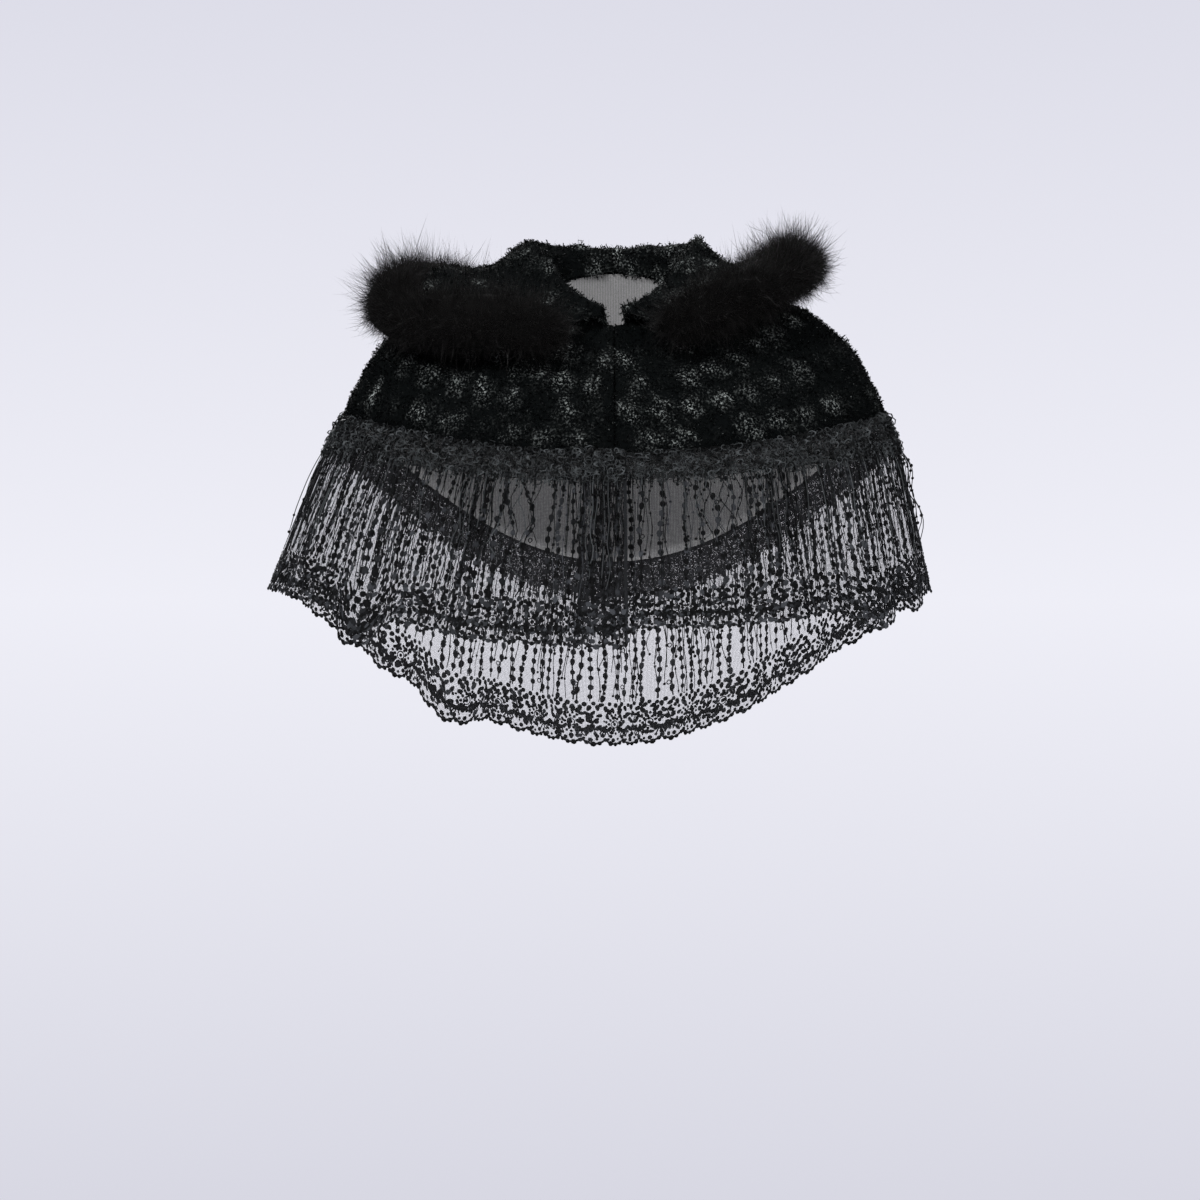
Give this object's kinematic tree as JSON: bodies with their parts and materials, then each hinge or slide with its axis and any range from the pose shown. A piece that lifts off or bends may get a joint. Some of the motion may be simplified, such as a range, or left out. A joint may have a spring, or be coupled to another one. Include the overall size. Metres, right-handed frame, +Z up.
{
  "type": "hooded cape",
  "caption": "Short hooded cape in worn form: plush yoke, hood laid back over the shoulders with a long-hair trim, and a gathered lace flounce with a scalloped hem.",
  "frame": {"origin": "middle of the neckline, where the cape rests round the wearer's neck", "axes": "+Z up, the wearer faces -Y, +X is the wearer's left"},
  "size_m": [0.6612, 0.4002, 0.5237],
  "materials": {
    "rosette_plush": "soft black pile in rosettes that glint grey",
    "long_hair": "long loose black hair, soft sheen",
    "embroidered_tulle": "charcoal net with matt embroidery",
    "heading_thread": "dense matt thread with hanging cords"
  },
  "bodies": {
    "root": {"yoke_front_right": "rosette_plush", "yoke_front_left": "rosette_plush", "yoke_back": "rosette_plush", "hood_right": "rosette_plush", "hood_left": "rosette_plush", "fur_trim_right": "long_hair", "fur_trim_left": "long_hair", "flounce_front_right": "embroidered_tulle", "flounce_front_left": "embroidered_tulle", "flounce_back": "embroidered_tulle", "heading_front_right": "heading_thread", "heading_front_left": "heading_thread", "heading_back": "heading_thread"}
  },
  "joints": []
}
